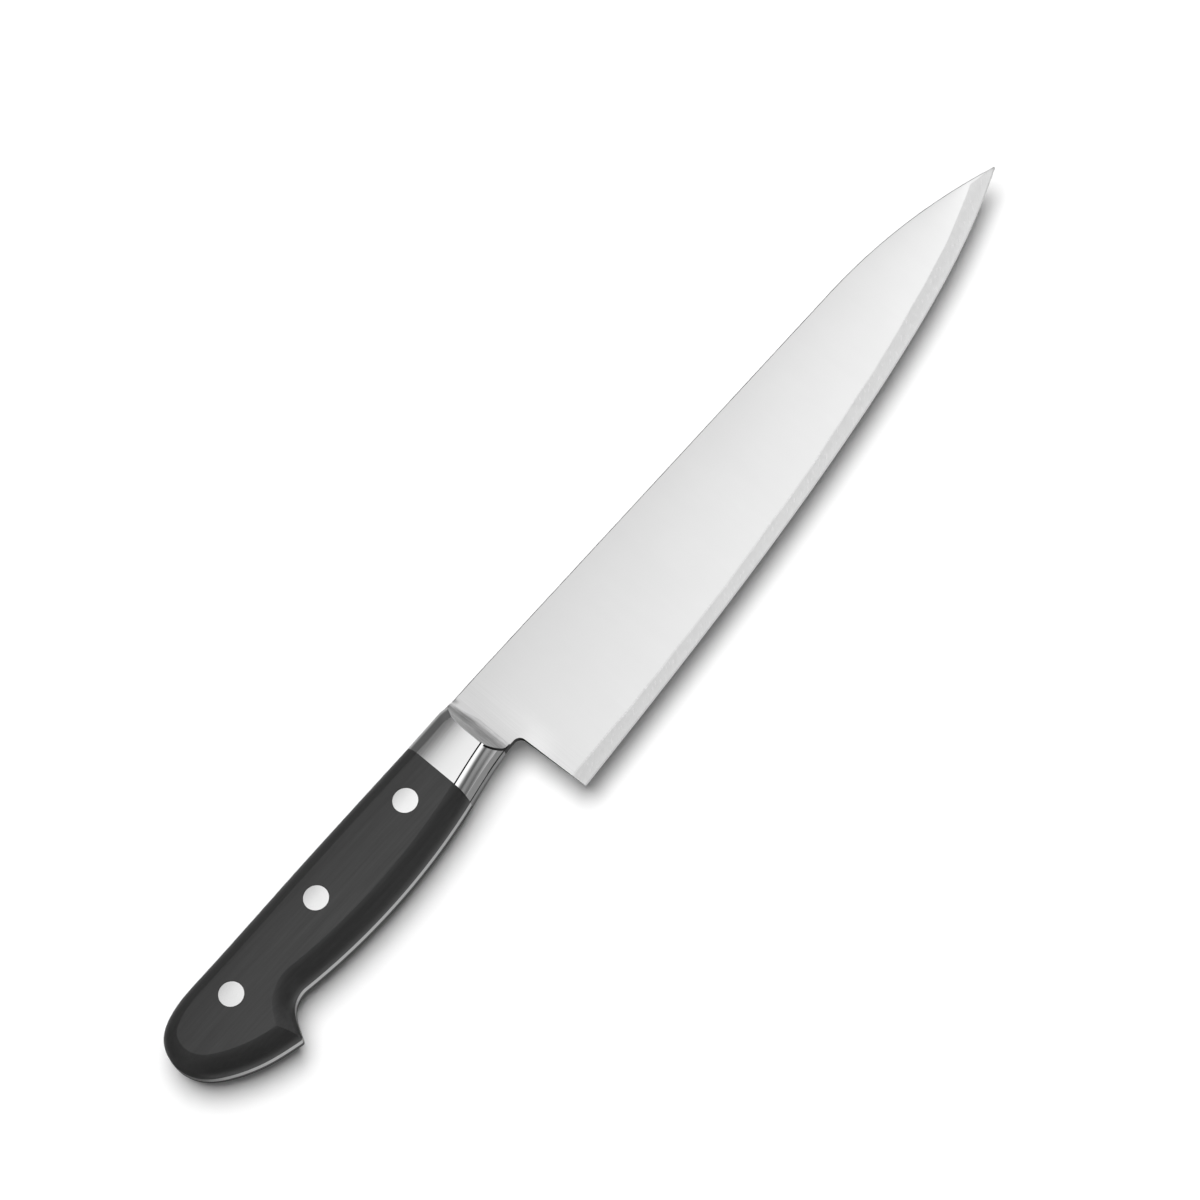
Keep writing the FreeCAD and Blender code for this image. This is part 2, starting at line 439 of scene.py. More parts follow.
@dataclass(frozen=True)
class Dressed:
    """What a finished mesh needs to become a piece of the knife.

    The crease is the angle in degrees from which the shading breaks between two faces.
    """

    name: str
    node: str
    slot: str
    materials: Sequence[bpy.types.Material]
    datum: Datum
    crease: float = 20.0

    def make(
        self,
        mesh: bmesh.types.BMesh,
        side: Side = Side.RIGHT,
        sort: Callable[[bmesh.types.BMFace], int] | None = None,
    ) -> bpy.types.Object:
        """Cleans a mesh, puts it in the row frame and makes it a piece.

        Args:
            mesh: finished mesh in millimetres about the heel corner, used up here.
            side: left turns the mesh over to the other side of the knife.
            sort: number of the material that a face gets.

        Returns:
            The piece.
        """
        bmesh.ops.remove_doubles(mesh, verts=mesh.verts, dist=SAME)
        bmesh.ops.dissolve_degenerate(mesh, dist=ON_CUT, edges=mesh.edges)
        if side is Side.LEFT:
            bmesh.ops.scale(mesh, vec=(1.0, 1.0, -1.0), verts=mesh.verts)
        bmesh.ops.recalc_face_normals(mesh, faces=mesh.faces)
        mesh.normal_update()
        for face in mesh.faces:
            face.smooth = True
            face.material_index = sort(face) if sort else 0
        for edge in mesh.edges:
            if len(edge.link_faces) == 2:
                edge.smooth = edge.calc_face_angle(0.0) < math.radians(self.crease)
        open_count = sum(1 for e in mesh.edges if not e.is_manifold)
        settle(mesh)
        bmesh.ops.transform(mesh, matrix=self.datum.matrix(), verts=mesh.verts)
        data = bpy.data.meshes.new(self.name)
        mesh.to_mesh(data)
        mesh.free()
        for material in self.materials:
            data.materials.append(material)
        piece = bpy.data.objects.new(self.name, data)
        bpy.context.scene.collection.objects.link(piece)
        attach(piece, "root")
        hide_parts(self.node)
        log.info("%s: %d faces, %d open edges", self.name, len(data.polygons), open_count)
        return piece


# ---- materials -------------------------------------------------------------------------------

# Range that the values of a noise texture mostly keep to.
NOISE_LOW, NOISE_HIGH = 0.3, 0.7


def linear(colour: str) -> tuple[float, float, float, float]:
    """Turns an sRGB hex value to linear.

    Args:
        colour: the value, such as 8a8a8a.

    Returns:
        Red, green, blue and alpha.
    """
    parts = [int(colour[i : i + 2], 16) / 255 for i in (0, 2, 4)]
    red, green, blue = (p / 12.92 if p <= 0.04045 else ((p + 0.055) / 1.055) ** 2.4 for p in parts)
    return red, green, blue, 1.0


def add_node(tree: bpy.types.NodeTree, kind: str, settings: dict | None = None, **inputs) -> bpy.types.Node:
    """Adds a node with its settings and its links.

    Args:
        tree: node tree that gets it.
        kind: Blender's name of the node type.
        settings: properties of the node.
        **inputs: a value or a socket for each input, with underscores for the spaces in its name.

    Returns:
        The node.
    """
    node = tree.nodes.new(kind)
    for name, value in (settings or {}).items():
        setattr(node, name, value)
    for name, value in inputs.items():
        key = name.replace("_", " ")
        socket = node.inputs[int(key[1:])] if key[0] == "i" and key[1:].isdigit() else node.inputs[key]
        if isinstance(value, bpy.types.NodeSocket):
            tree.links.new(value, socket)
        else:
            socket.default_value = value
    return node


def blank(name: str) -> tuple[bpy.types.Material, bpy.types.NodeTree]:
    """Makes a material with an empty node tree.

    Args:
        name: name of the finish.

    Returns:
        The material and its node tree.
    """
    material = bpy.data.materials.new(name)
    material.use_nodes = True
    material.node_tree.nodes.clear()
    return material, material.node_tree


@dataclass(frozen=True)
class GroundSteel:
    """Hardened stainless steel with the fine parallel lines of a belt or a stone.

    The eye gets a bright, slightly soft reflection that is smeared across the lines. Widths, lengths
    and places are in millimetres. With a fade below 1, the lines lose that share of their strength
    from the bolsters to the heel, and so does a painted shade that darkens the steel near the bolsters.
    """

    name: str
    colour: str
    roughness: float
    line_width: float
    line_length: float
    angle: float
    depth: float
    tone: float = 0.05
    rough_swing: float = 0.06
    cloud: float = 18.0
    cloud_share: float = 0.3
    fade: float = 1.0
    fade_from: float = -45.0
    fade_to: float = -26.0

    def material(self) -> bpy.types.Material:
        """Builds the material.

        Returns:
            The material.
        """
        material, tree = blank(self.name)
        place = add_node(tree, "ShaderNodeTexCoord").outputs["Object"]
        turned = add_node(
            tree, "ShaderNodeMapping", {"vector_type": "TEXTURE"}, Vector=place,
            Rotation=(0.0, 0.0, self.angle),
            Scale=(self.line_length * MM, self.line_width * MM, self.line_length * MM),
        )
        lines = add_node(
            tree, "ShaderNodeTexNoise", {"noise_dimensions": "3D"}, Vector=turned.outputs[0],
            Scale=1.0, Detail=3.0, Roughness=0.6,
        )
        cloud = add_node(
            tree, "ShaderNodeTexNoise", None, Vector=place, Scale=1.0 / (self.cloud * MM), Detail=2.0,
        )
        along = add_node(tree, "ShaderNodeSeparateXYZ", None, Vector=place)
        strength = add_node(
            tree, "ShaderNodeMapRange", {"interpolation_type": "SMOOTHSTEP"}, Value=along.outputs["X"],
            From_Min=self.fade_from * MM, From_Max=self.fade_to * MM, To_Min=1.0, To_Max=self.fade,
        )
        centred = add_node(
            tree, "ShaderNodeMapRange", None, Value=lines.outputs["Fac"], From_Min=NOISE_LOW,
            From_Max=NOISE_HIGH, To_Min=-0.7, To_Max=0.3,
        )
        # Lines, with painted shade: their mean lies below zero, so where they are strongest, near the
        # bolsters, the steel is painted darker.
        lines_and_neck_shade = add_node(
            tree, "ShaderNodeMath", {"operation": "MULTIPLY_ADD"}, i0=centred.outputs[0],
            i1=strength.outputs[0], i2=0.35 + 0.2 * self.fade,
        )
        dark, light = (
            tuple(c * (1 + s * self.tone) for c in linear(self.colour)[:3]) + (1.0,) for s in (-1, 1)
        )
        mixed = add_node(
            tree, "ShaderNodeMath", {"operation": "MULTIPLY_ADD"}, i0=cloud.outputs["Fac"],
            i1=self.cloud_share, i2=lines_and_neck_shade.outputs[0],
        )
        tint = add_node(tree, "ShaderNodeMix", {"data_type": "RGBA"}, Factor=mixed.outputs[0])
        tint.inputs[6].default_value = dark
        tint.inputs[7].default_value = light
        rough = add_node(
            tree, "ShaderNodeMapRange", None, Value=lines.outputs["Fac"], From_Min=NOISE_LOW,
            From_Max=NOISE_HIGH, To_Min=self.roughness - self.rough_swing,
            To_Max=self.roughness + self.rough_swing,
        )
        bump = add_node(
            tree, "ShaderNodeBump", None, Height=lines.outputs["Fac"], Strength=1.0,
            Distance=self.depth * MM,
        )
        shader = add_node(
            tree, "ShaderNodeBsdfPrincipled", None, Base_Color=tint.outputs[2], Metallic=1.0,
            Roughness=rough.outputs[0], Normal=bump.outputs[0],
        )
        add_node(tree, "ShaderNodeOutputMaterial", None, Surface=shader.outputs[0])
        return material


@dataclass(frozen=True)
class Laminate:
    """Hardwood laminate soaked in dark resin and sanded satin.

    The eye gets a near-black brown-grey with a faint grain along the handle under a soft sheen.
    Widths, lengths and depths are in millimetres.
    """

    name: str
    dark: str
    light: str
    roughness: float
    grain_width: float
    grain_length: float
    depth: float
    pore: float = 0.5
    sheen_swing: float = 0.04

    def material(self) -> bpy.types.Material:
        """Builds the material.

        Returns:
            The material.
        """
        material, tree = blank(self.name)
        place = add_node(tree, "ShaderNodeTexCoord").outputs["Object"]
        stretched = add_node(
            tree, "ShaderNodeMapping", {"vector_type": "TEXTURE"}, Vector=place,
            Scale=(self.grain_length * MM, self.grain_width * MM, self.grain_width * MM),
        )
        grain = add_node(
            tree, "ShaderNodeTexNoise", None, Vector=stretched.outputs[0], Scale=1.0, Detail=5.0,
            Roughness=0.65, Distortion=0.3,
        )
        pores = add_node(
            tree, "ShaderNodeTexNoise", None, Vector=place, Scale=1.0 / (self.pore * MM), Detail=2.0,
        )
        tint = add_node(tree, "ShaderNodeValToRGB", None, Fac=grain.outputs["Fac"])
        tint.color_ramp.elements[0].position = NOISE_LOW
        tint.color_ramp.elements[0].color = linear(self.dark)
        tint.color_ramp.elements[1].position = 0.72
        tint.color_ramp.elements[1].color = linear(self.light)
        rough = add_node(
            tree, "ShaderNodeMapRange", None, Value=grain.outputs["Fac"], From_Min=NOISE_LOW,
            From_Max=NOISE_HIGH, To_Min=self.roughness + self.sheen_swing,
            To_Max=self.roughness - self.sheen_swing,
        )
        height = add_node(
            tree, "ShaderNodeMath", {"operation": "ADD"}, i0=grain.outputs["Fac"],
            i1=pores.outputs["Fac"],
        )
        bump = add_node(
            tree, "ShaderNodeBump", None, Height=height.outputs[0], Strength=1.0,
            Distance=self.depth * MM,
        )
        shader = add_node(
            tree, "ShaderNodeBsdfPrincipled", None, Base_Color=tint.outputs[0],
            Roughness=rough.outputs[0], Normal=bump.outputs[0], IOR=1.5, Specular_IOR_Level=0.35,
        )
        add_node(tree, "ShaderNodeOutputMaterial", None, Surface=shader.outputs[0])
        return material


# Real grinding lines are some 0.05 mm apart, too fine to show, so the finishes draw them 0.3 to
# 0.5 mm apart.

# Long, very fine lines across the blade: a bright, even, slightly soft sheen, with lines and a
# little painted shade that show only near the neck.
SATIN = GroundSteel(
    "satin_ground_stainless", "dcdcdc", roughness=0.29, line_width=0.3, line_length=16.0,
    angle=math.pi / 2, depth=0.00002, tone=0.06, rough_swing=0.01, cloud=14.0, fade=0.09,
)
# Short slanting scratches from the stone: a greyer, speckled band along the edge.
STONED = GroundSteel(
    "stone_ground_bevel", "cacaca", roughness=0.32, line_width=0.4, line_length=1.8,
    angle=math.pi / 4, depth=0.002, tone=0.07,
)
# Where stone and belt met: a narrow half-tone that softens the upper line of the bevel.
FACE_FOOT = GroundSteel(
    "foot_of_the_satin_face", "d3d3d3", roughness=0.30, line_width=0.4, line_length=3.0,
    angle=math.pi / 2, depth=0.001, tone=0.04,
)
# The last half millimetre, honed finer: a thin, slightly darker rim.
HONED = GroundSteel(
    "honed_edge", "b4b4b4", roughness=0.30, line_width=0.3, line_length=4.0, angle=0.8,
    depth=0.002,
)
# Lines along the spine and the tang: a matte grey strip.
BELTED = GroundSteel(
    "belt_ground_spine", "d2d2d2", roughness=0.40, line_width=0.3, line_length=25.0, angle=0.0,
    depth=0.003,
)
# Painted shade: near-black, rough steel for a thin dark line in the choil, on the heel's back edge,
# under the neck, in the crease under the bolster's roll and along the ramp's foot; the same dark
# also marks the joint between bolster and tang.
SHADE_AND_JOINT_LINES = GroundSteel(
    "painted_shade_and_joint_lines", "2c2c2c", roughness=0.45, line_width=0.3, line_length=3.0, angle=0.0,
    depth=0.004,
)
# Buffed on a soft wheel: near-mirror cheeks with a soft gradient from dark to bright.
POLISHED = GroundSteel(
    "buffed_bolster_steel", "dcdcdc", roughness=0.15, line_width=0.4, line_length=20.0, angle=0.1,
    depth=0.0004, tone=0.02, rough_swing=0.02,
)
# Brushed along the handle: a mid-grey underside with clear lines.
BRUSHED = GroundSteel(
    "brushed_bolster_steel", "a2a2a2", roughness=0.36, line_width=0.3, line_length=18.0, angle=0.2,
    depth=0.003, tone=0.15,
)
# Ground on a small wheel: a matte, mottled grey hollow between bolster and blade.
HOLLOWED = GroundSteel(
    "matte_ramp_steel", "c8c8c8", roughness=0.34, line_width=0.5, line_length=5.0,
    angle=math.pi / 2, depth=0.008, tone=0.25, cloud=1.6,
)
# Sanded flush and buffed: white-bright rivet heads with the faintest lines.
BUFFED = GroundSteel(
    "buffed_rivet_steel", "efefef", roughness=0.20, line_width=0.3, line_length=9.0, angle=0.4,
    depth=0.0008, tone=0.03, rough_swing=0.03,
)
# Sanded laminate: near-black and satin, with a grain that only shows at a slant.
LAMINATE = Laminate(
    "black_resin_laminate", "272727", "2f2f2f", roughness=0.36, grain_width=0.9, grain_length=26.0,
    depth=0.003,
)

BLADE_FINISHES = (SATIN, STONED, HONED, BELTED, SHADE_AND_JOINT_LINES, FACE_FOOT, BRUSHED)
BOLSTER_FINISHES = (POLISHED, BRUSHED, HOLLOWED, SHADE_AND_JOINT_LINES)
STEELS = (*BLADE_FINISHES, POLISHED, HOLLOWED, BUFFED)


# ---- blade -----------------------------------------------------------------------------------


class BladeFinish(IntEnum):
    """Regions of the blade and the tang, in the order of their materials."""

    FACE = 0
    BEVEL = 1
    EDGE = 2
    SPINE = 3
    # Painted shade on the choil, the heel's back edge and the neck's underside.
    SHADED_CHOIL_AND_NECK = 4
    FACE_FOOT = 5
    NECK = 6


@dataclass(frozen=True)
class Blade:
    """Blade and full tang, ground from one piece of steel, with sizes in millimetres."""

    # Half the thickness of the spine, what it loses along the blade and at the point, and half the
    # thickness at the bevel's shoulder and at the edge.
    spine_half: float = 1.1
    spine_taper: float = 0.35
    tip_taper: float = 0.45
    tip_taper_power: int = 8
    shoulder_half: float = 0.3
    edge_half: float = 0.06
    # Height of the bevel at places along the blade, and the rise, run and start of its slow waves.
    bevel: tuple[Point, ...] = (
        (0.0, 4.5), (20.0, 3.9), (50.0, 3.5), (75.0, 3.6), (100.0, 3.7), (130.0, 4.2), (150.0, 4.5),
        (170.0, 4.7), (190.0, 5.1), (207.0, 5.4),
    )
    waver: tuple[Place, ...] = ((0.1, 6.1, 0.0), (0.06, 2.3, 1.0))
    # Height and half-thickness of the honed edge, and size of the spine's eased corner.
    honed_height: float = 0.4
    honed_half: float = 0.11
    ease: float = 0.28
    # The most that bevel, shoulder, honed edge and eased corner take of the blade's height or
    # thickness where it gets small.
    bevel_share: float = 0.8
    shoulder_share: float = 0.75
    honed_share: float = 0.3
    ease_share: float = 0.2
    # How quickly the face swells above its shoulder, and the stretches over which it passes into
    # the tang's flat plate and the spine's corner is eased.
    face_power: float = 1.8
    plate_x: Point = (-5.0, 6.0)
    plate_y: Point = (12.0, 24.0)
    ease_x: Point = (-9.0, -5.0)
    # Behind this place the tang is a plain plate.
    plain_x: float = -12.0
    hole_radius: float = 2.54
    hole_clear: float = 2.0
    # Grid of the right face: the length of the heel, over which the grid turns from its slanting
    # back edge to upright, the two stretches of the point, the height and share of the face's
    # foot, the shares of the spine's eased corner, the numbers of points each way, and the room
    # kept between the hook's end and the next station.
    heel_run: float = 12.0
    point_run: Point = (17.25, 3.25)
    foot: float = 0.5
    foot_share: float = 0.0135
    corner: tuple[float, ...] = (0.45, 0.75, 0.93, 1.0)
    ground_rows: int = 11
    choil_rows: int = 9
    neck_rows: int = 13
    blade_columns: tuple[int, ...] = (13, 140, 20, 10)
    tang_columns: tuple[int, ...] = (22, 46, 40)
    hook_clear: float = 0.2
    # How faces are told apart: the least upright part of a normal that lies in a side face, the
    # height halfway up, the places of the neck's front and of the bolsters' front, and how far
    # behind the heel the bevel no longer counts.
    side_face: float = 0.7
    halfway_y: float = 30.0
    neck_front: float = 0.3
    bolster_front: float = -7.0
    behind_heel: float = 0.5

    def bevel_height(self, x: float, height: float) -> float:
        """Height of the edge bevel, which the grinder's hand leaves slightly uneven.

        Args:
            x: place along the blade.
            height: height of the blade there.

        Returns:
            The bevel's height.
        """
        even = float(np.interp(x, *zip(*self.bevel)))
        waver = sum(rise * math.sin(x / run + start) for rise, run, start in self.waver)
        return min(even + waver, self.bevel_share * height)

    def honed_at(self, height: float) -> float:
        """Height of the honed edge where the blade has a certain height."""
        return min(self.honed_height, self.honed_share * height)

    def ease_at(self, height: float) -> float:
        """Size of the spine's eased corner where the blade has a certain height."""
        return min(self.ease, self.ease_share * height)

    def spine_thickness(self, x: float, length: float) -> float:
        """Half the thickness at the spine, from the blade's length in front of the heel."""
        along = max(0.0, x) / length
        return self.spine_half - self.spine_taper * along - self.tip_taper * along**self.tip_taper_power

    def half_thickness(self, x: float, y: float, limits: Limits) -> float:
        """Half the thickness of the blade at a point of its face.

        Args:
            x: place along the blade.
            y: height above the heel corner.
            limits: outline of the knife.

        Returns:
            The half-thickness in millimetres.
        """
        low, high = limits.edge(x), limits.top(x)
        height = high - low
        spine = self.spine_thickness(x, limits.outline.tip_x)
        shoulder = min(self.shoulder_half, self.shoulder_share * spine)
        honed = self.honed_at(height)
        bevel = self.bevel_height(x, height)
        up = y - low
        if up <= honed:
            return self.edge_half + (self.honed_half - self.edge_half) * up / honed
        if up <= bevel:
            return self.honed_half + (shoulder - self.honed_half) * (up - honed) / (bevel - honed)
        share = min(1.0, (up - bevel) / (height - bevel))
        face = shoulder + (spine - shoulder) * (1 - (1 - share) ** self.face_power)
        plate = (1 - blend(x, *self.plate_x)) * blend(y, *self.plate_y)
        return face + (spine - face) * plate

    def eased(self, x: float, y: float, limits: Limits) -> float:
        """Half the thickness with the spine's corners eased ahead of the bolsters.

        Args:
            x: place along the blade.
            y: height above the heel corner.
            limits: outline of the knife.

        Returns:
            The half-thickness in millimetres.
        """
        half = self.half_thickness(x, y, limits)
        ease = self.ease_at(limits.top(x) - limits.edge(x)) * blend(x, *self.ease_x)
        down = limits.top(x) - y
        if down >= ease or ease < SAME:
            return half
        turned = math.sqrt(max(0.0, 1 - ((ease - down) / ease) ** 2))
        return half - min(ease, self.bevel_share * half) * (1 - turned)

    def _pierce(self, mesh: bmesh.types.BMesh, centre: Point) -> None:
        """Opens a rivet hole in the tang's face.

        Args:
            mesh: the tang's right face, flat where the hole comes.
            centre: place of the hole.
        """
        middle = Vector(centre)
        near = [
            f
            for f in mesh.faces
            if (f.calc_center_median().xy - middle).length < self.hole_radius + self.hole_clear
        ]
        bmesh.ops.delete(mesh, geom=near, context="FACES")
        bmesh.ops.create_circle(
            mesh, segments=72, radius=self.hole_radius,
            matrix=Matrix.Translation((*centre, self.spine_half)),
        )
        around = [
            e
            for e in mesh.edges
            if len(e.link_faces) < 2
            and all((v.co.xy - middle).length < self.hole_radius + 2 * self.hole_clear for v in e.verts)
        ]
        bmesh.ops.triangle_fill(mesh, use_beauty=True, edges=around)

    def build(self, limits: Limits, holes: Iterable[Point], dressed: Dressed) -> bpy.types.Object:
        """Builds the blade with its tang.

        Args:
            limits: outline of the knife.
            holes: places of the rivet holes in the tang.
            dressed: name, place and materials.

        Returns:
            The piece.
        """
        outline = limits.outline
        heel = outline.heel_x
        turn = np.linspace(0.0, math.pi / 2, self.choil_rows)
        choil = outline.heel_back[1] + outline.choil_radius * np.sin(turn)
        bevel = self.bevel_height(heel, limits.top(heel) - limits.edge(heel))
        ease_y = limits.top(heel) - self.ease
        face = [bevel, bevel + self.foot, *np.linspace(bevel, choil[0], self.ground_rows)[1:], *choil[1:]]
        face += [*np.linspace(choil[-1], ease_y, self.neck_rows)[1:]]
        shares = [(y - bevel) / (ease_y - bevel) for y in face]
        edge_rows = 3
        neck_row = edge_rows + self.ground_rows + self.choil_rows - 1
        rows = edge_rows + len(shares) + len(self.corner)

        def level(x: float, row: int) -> float:
            """Height of a row of the blade's grid.

            Args:
                x: place along the blade.
                row: number of the row, from the edge up.

            Returns:
                The height.
            """
            low, high = limits.edge(x), limits.top(x)
            height = high - low
            honed = self.honed_at(height)
            shoulder = self.bevel_height(max(x, heel), height)
            ease = self.ease_at(height)
            if row < edge_rows:
                return low + (0.0, honed, (honed + shoulder) / 2)[row]
            if row < edge_rows + len(shares):
                return low + shoulder + shares[row - edge_rows] * (height - ease - shoulder)
            return high - ease * (1 - self.corner[row - edge_rows - len(shares)])

        def rear(y: float) -> float:
            """Rear limit of the blade's grid: the heel's back edge, the choil and the neck.

            Args:
                y: height above the heel corner.

            Returns:
                Its place along the knife.
            """
            back_x, back_y = outline.heel_back
            if y <= back_y:
                return heel + (back_x - heel) * y / back_y
            centre = back_x - outline.choil_radius
            if y >= outline.neck[1]:
                return centre
            return centre + math.sqrt(outline.choil_radius**2 - (y - back_y) ** 2)

        belly_end, point_start = (outline.tip_x - run for run in self.point_run)
        bounds = (heel, heel + self.heel_run, belly_end, point_start, outline.tip_x)
        stretches = zip(bounds, bounds[1:], self.blade_columns)
        stations = [x for start, end, count in stretches for x in np.linspace(start, end, count)[:-1]]
        stations.append(outline.tip_x)

        def on_blade(column: int, row: int) -> Place:
            """Grid point of the blade's right face.

            Args:
                column: number of the station, from the heel.
                row: number of the row, from the edge up.

            Returns:
                The point.
            """
            x = stations[column]
            stay = 1 - blend(x, heel, heel + self.heel_run)
            y = level(x, row)
            x += stay * (rear(level(heel, row)) - heel)
            if column:
                y = level(x, row)
            return x, y, self.eased(x, y, limits)

        front = [on_blade(0, row) for row in range(neck_row, rows)]
        butt = outline.butt[0]
        hook = outline.hook_end[0]
        beak_x = float(outline.beak_corner()[0, 0])
        lower = outline.handle_end()[::-1, 0]
        to_seam, to_hook, to_butt = self.tang_columns
        back_stations = [
            *np.linspace(front[0][0], outline.seam_x, to_seam)[1:],
            *np.linspace(outline.seam_x, hook, to_hook)[1:],
            *lower[(lower < hook - self.hook_clear) & (lower > beak_x)],
            *(butt + (beak_x - butt) * (1 - np.sin(np.linspace(0.0, math.pi / 2, to_butt)))),
        ]

        def on_tang(column: int, row: int) -> Place:
            """Grid point of the tang's right face.

            Args:
                column: number of the station, from the neck back.
                row: number of the row, from the underside up.

            Returns:
                The point.
            """
            x0, y0, z0 = front[row]
            if column == 0:
                return x0, y0, z0
            x = back_stations[column - 1]
            low, high = limits.under(x), limits.top(x)
            share = (y0 - front[0][1]) / (front[-1][1] - front[0][1])
            y = low + share * (high - low)
            return x, y, self.eased(x, y, limits) if x > self.plain_x else self.spine_half

        mesh = bmesh.new()
        sheet(mesh, len(stations), rows, on_blade)
        sheet(mesh, len(back_stations) + 1, len(front), on_tang)
        bmesh.ops.remove_doubles(mesh, verts=mesh.verts, dist=SAME)
        for centre in holes:
            self._pierce(mesh, centre)
        rim = [e for e in mesh.edges if e.is_boundary]
        walls = bmesh.ops.extrude_edge_only(mesh, edges=rim)
        for vert in walls["geom"]:
            if isinstance(vert, bmesh.types.BMVert):
                vert.co.z = 0.0
        everything = mesh.verts[:] + mesh.edges[:] + mesh.faces[:]
        bmesh.ops.mirror(mesh, geom=everything, axis="Z", merge_dist=ON_PLANE)

        def finish_of(face: bmesh.types.BMFace) -> BladeFinish:
            """Finish of a face, from where it lies and which way it looks.

            Args:
                face: the face.

            Returns:
                The finish.
            """
            centre = face.calc_center_median()
            if abs(face.normal.z) < self.side_face:
                if centre.y > self.halfway_y or not outline.seam_x < centre.x < self.neck_front:
                    return BladeFinish.SPINE
                # The choil, the heel's back edge and the neck's underside get painted shade.
                return BladeFinish.SHADED_CHOIL_AND_NECK if centre.x > self.bolster_front else BladeFinish.NECK
            if centre.x < heel - self.behind_heel:
                return BladeFinish.FACE
            up = centre.y - limits.edge(centre.x)
            height = limits.top(centre.x) - limits.edge(centre.x)
            bevel = self.bevel_height(centre.x, height)
            if up < self.honed_at(height):
                return BladeFinish.EDGE
            if up < bevel:
                return BladeFinish.BEVEL
            return BladeFinish.FACE_FOOT if up < bevel + self.foot_share * height else BladeFinish.FACE

        return dressed.make(mesh, sort=finish_of)


# ---- handle ----------------------------------------------------------------------------------


@dataclass(frozen=True)
class Section:
    """Rounding of the handle from the tang to the cheek, in millimetres.

    It leaves the tang with a low upright lip, and turns in by the distance across until the kink at
    the cheek's border. The cheek is crowned above and below one height, and drops towards the butt.
    """

    tang_half: float = 1.1
    lip: float = 0.3
    across: float = 4.8
    cheek: float = 8.5
    kink: float = math.radians(72)
    steps: int = 18
    crown_from: float = 29.0
    crown_to: float = 44.0
    crown_up: float = 1.1
    crown_down: float = 0.3
    butt_from: float = -104.0
    butt_run: float = 26.0
    butt_drop: float = 0.9

    def crown(self, mesh: bmesh.types.BMesh) -> None:
        """Lowers the cheeks in a gentle crown that falls off towards the back, underside and butt.

        Args:
            mesh: a piece of the handle in millimetres about the heel corner.
        """
        foot = self.tang_half + self.lip
        for vert in mesh.verts:
            rise = (abs(vert.co.z) - foot) / (self.cheek - foot)
            if rise <= 0:
                continue
            off = (vert.co.y - self.crown_from) / (self.crown_to - self.crown_from)
            drop = self.crown_up * off**3 if off > 0 else self.crown_down * off * off
            drop += self.butt_drop * (max(0.0, self.butt_from - vert.co.x) / self.butt_run) ** 2
            vert.co.z -= math.copysign(drop * rise, vert.co.z)

    def levels(self) -> list[Point]:
        """Rings of the rounding, from the tang up to the cheek.

        Returns:
            Distance in from the outline and height of each ring.
        """
        foot = self.tang_half + self.lip
        wide = self.across / (1 - math.cos(self.kink))
        tall = (self.cheek - foot) / math.sin(self.kink)
        rings = [(0.0, self.tang_half)]
        for turn in np.linspace(0, self.kink, self.steps + 1):
            rings.append((wide * (1 - math.cos(turn)), foot + tall * math.sin(turn)))
        return rings

    def inset_at(self, z: float) -> float:
        """Distance in from the outline at a height."""
        rings = self.levels()
        return float(np.interp(z, [r[1] for r in rings], [r[0] for r in rings]))


@dataclass(frozen=True)
class Rivet:
    """Compression rivet: a socket pressed in from the right and a post from the left.

    Sizes are in millimetres, and heights are out of the middle plane of the blade.
    """

    name: str
    centre: Point
    head_radius: float = 3.6
    head_depth: float = 2.0
    barrel_radius: float = 2.5
    post_radius: float = 1.6
    barrel_end: float = -6.2
    bore_top: float = 5.0
    post_end: float = 4.6
    # Size of the head's eased rim, and how far inside it the top has one more ring.
    ease: float = 0.06
    rim: float = 0.2

    def _head(self, cheek: float) -> list[Point]:
        """Profile of a head, from the middle of its top over the eased rim to its underside.

        Args:
            cheek: height of the top.

        Returns:
            Radius and height of each point.
        """
        flat = (0.0, self.head_radius * 0.5, self.head_radius - self.rim, self.head_radius - self.ease)
        top = [(radius, cheek) for radius in flat]
        return [*top, (self.head_radius, cheek - self.ease), (self.head_radius, cheek - self.head_depth)]

    def build_socket(self, section: Section, dressed: Dressed) -> bpy.types.Object:
        """Builds the head and the hollow barrel on the right side.

        Args:
            section: rounding of the handle.
            dressed: name, place and materials.

        Returns:
            The piece.
        """
        mesh = bmesh.new()
        head = self._head(section.cheek)
        profile = [
            *head, (self.barrel_radius, head[-1][1]), (self.barrel_radius, self.barrel_end),
            (self.post_radius, self.barrel_end), (self.post_radius, self.bore_top), (0.0, self.bore_top),
        ]
        spun(mesh, profile, self.centre)
        section.crown(mesh)
        return dressed.make(mesh)

    def build_post(self, section: Section, dressed: Dressed) -> bpy.types.Object:
        """Builds the head and the solid post on the left side.

        Args:
            section: rounding of the handle.
            dressed: name, place and materials.

        Returns:
            The piece.
        """
        mesh = bmesh.new()
        head = [(radius, -z) for radius, z in self._head(section.cheek)]
        profile = [
            *head, (self.post_radius, head[-1][1]), (self.post_radius, self.post_end),
            (0.0, self.post_end),
        ]
        spun(mesh, profile, self.centre)
        section.crown(mesh)
        return dressed.make(mesh)


RIVETS = (Rivet("front", (-36.1, 32.3)), Rivet("middle", (-71.8, 32.2)), Rivet("rear", (-106.2, 31.4)))


